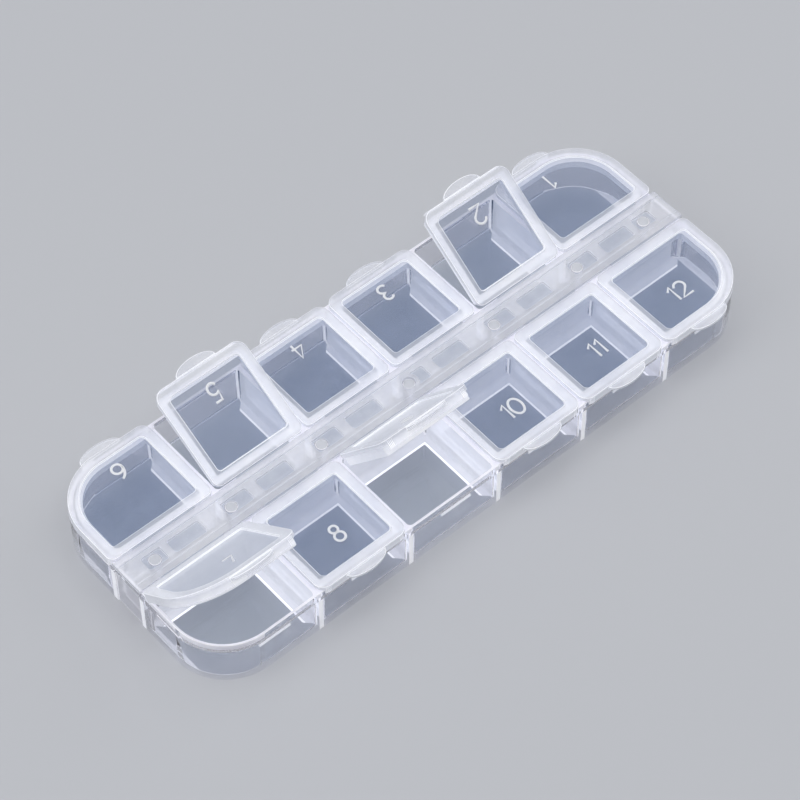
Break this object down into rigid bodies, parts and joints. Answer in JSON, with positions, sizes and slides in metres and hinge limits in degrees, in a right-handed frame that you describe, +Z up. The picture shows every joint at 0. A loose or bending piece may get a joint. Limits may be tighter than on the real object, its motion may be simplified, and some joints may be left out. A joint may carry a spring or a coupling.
{
  "type": "bead organizer",
  "caption": "Flat clear tray with two rows of cells, each under its own snap lid that swings on a film hinge beside a central strip.",
  "frame": {"origin": "middle of the tray's flat underside", "axes": "+X along the tray towards lids 1 and 12, +Y towards the back row of lids 1 to 6, +Z up out of the cells"},
  "size_m": [0.13, 0.0528, 0.0289],
  "materials": {
    "clear_plastic": "clear, polished, hard moulded plastic",
    "milky_plastic": "translucent, slightly milky, soft moulded plastic"
  },
  "bodies": {
    "base": {"tray": "clear_plastic", "centre_strip": "milky_plastic", "hinge_01": "milky_plastic", "hinge_02": "milky_plastic", "hinge_03": "milky_plastic", "hinge_04": "milky_plastic", "hinge_05": "milky_plastic", "hinge_06": "milky_plastic", "hinge_07": "milky_plastic", "hinge_08": "milky_plastic", "hinge_09": "milky_plastic", "hinge_10": "milky_plastic", "hinge_11": "milky_plastic", "hinge_12": "milky_plastic"},
    "lid_01": {"lid_01": "milky_plastic"},
    "lid_02": {"lid_02": "milky_plastic"},
    "lid_03": {"lid_03": "milky_plastic"},
    "lid_04": {"lid_04": "milky_plastic"},
    "lid_05": {"lid_05": "milky_plastic"},
    "lid_06": {"lid_06": "milky_plastic"},
    "lid_07": {"lid_07": "milky_plastic"},
    "lid_08": {"lid_08": "milky_plastic"},
    "lid_09": {"lid_09": "milky_plastic"},
    "lid_10": {"lid_10": "milky_plastic"},
    "lid_11": {"lid_11": "milky_plastic"},
    "lid_12": {"lid_12": "milky_plastic"}
  },
  "joints": [
    {"name": "lid_01_swing", "type": "hinge", "parent": "base", "child": "lid_01", "pos_m": [0.05337, 0.00405, 0.01108], "axis": [1, 0, 0], "range_deg": [0, 100]},
    {"name": "lid_02_swing", "type": "hinge", "parent": "base", "child": "lid_02", "pos_m": [0.03112, 0.00405, 0.01108], "axis": [1, 0, 0], "range_deg": [-35.5, 64.5]},
    {"name": "lid_03_swing", "type": "hinge", "parent": "base", "child": "lid_03", "pos_m": [0.01038, 0.00405, 0.01108], "axis": [1, 0, 0], "range_deg": [0, 100]},
    {"name": "lid_04_swing", "type": "hinge", "parent": "base", "child": "lid_04", "pos_m": [-0.01038, 0.00405, 0.01108], "axis": [1, 0, 0], "range_deg": [0, 100]},
    {"name": "lid_05_swing", "type": "hinge", "parent": "base", "child": "lid_05", "pos_m": [-0.03112, 0.00405, 0.01108], "axis": [1, 0, 0], "range_deg": [-29, 71]},
    {"name": "lid_06_swing", "type": "hinge", "parent": "base", "child": "lid_06", "pos_m": [-0.05337, 0.00405, 0.01108], "axis": [1, 0, 0], "range_deg": [0, 100]},
    {"name": "lid_07_swing", "type": "hinge", "parent": "base", "child": "lid_07", "pos_m": [-0.05337, -0.00405, 0.01108], "axis": [-1, 0, 0], "range_deg": [-42, 58]},
    {"name": "lid_08_swing", "type": "hinge", "parent": "base", "child": "lid_08", "pos_m": [-0.03112, -0.00405, 0.01108], "axis": [-1, 0, 0], "range_deg": [0, 100]},
    {"name": "lid_09_swing", "type": "hinge", "parent": "base", "child": "lid_09", "pos_m": [-0.01038, -0.00405, 0.01108], "axis": [-1, 0, 0], "range_deg": [-53, 47]},
    {"name": "lid_10_swing", "type": "hinge", "parent": "base", "child": "lid_10", "pos_m": [0.01038, -0.00405, 0.01108], "axis": [-1, 0, 0], "range_deg": [0, 100]},
    {"name": "lid_11_swing", "type": "hinge", "parent": "base", "child": "lid_11", "pos_m": [0.03112, -0.00405, 0.01108], "axis": [-1, 0, 0], "range_deg": [0, 100]},
    {"name": "lid_12_swing", "type": "hinge", "parent": "base", "child": "lid_12", "pos_m": [0.05337, -0.00405, 0.01108], "axis": [-1, 0, 0], "range_deg": [0, 100]}
  ]
}
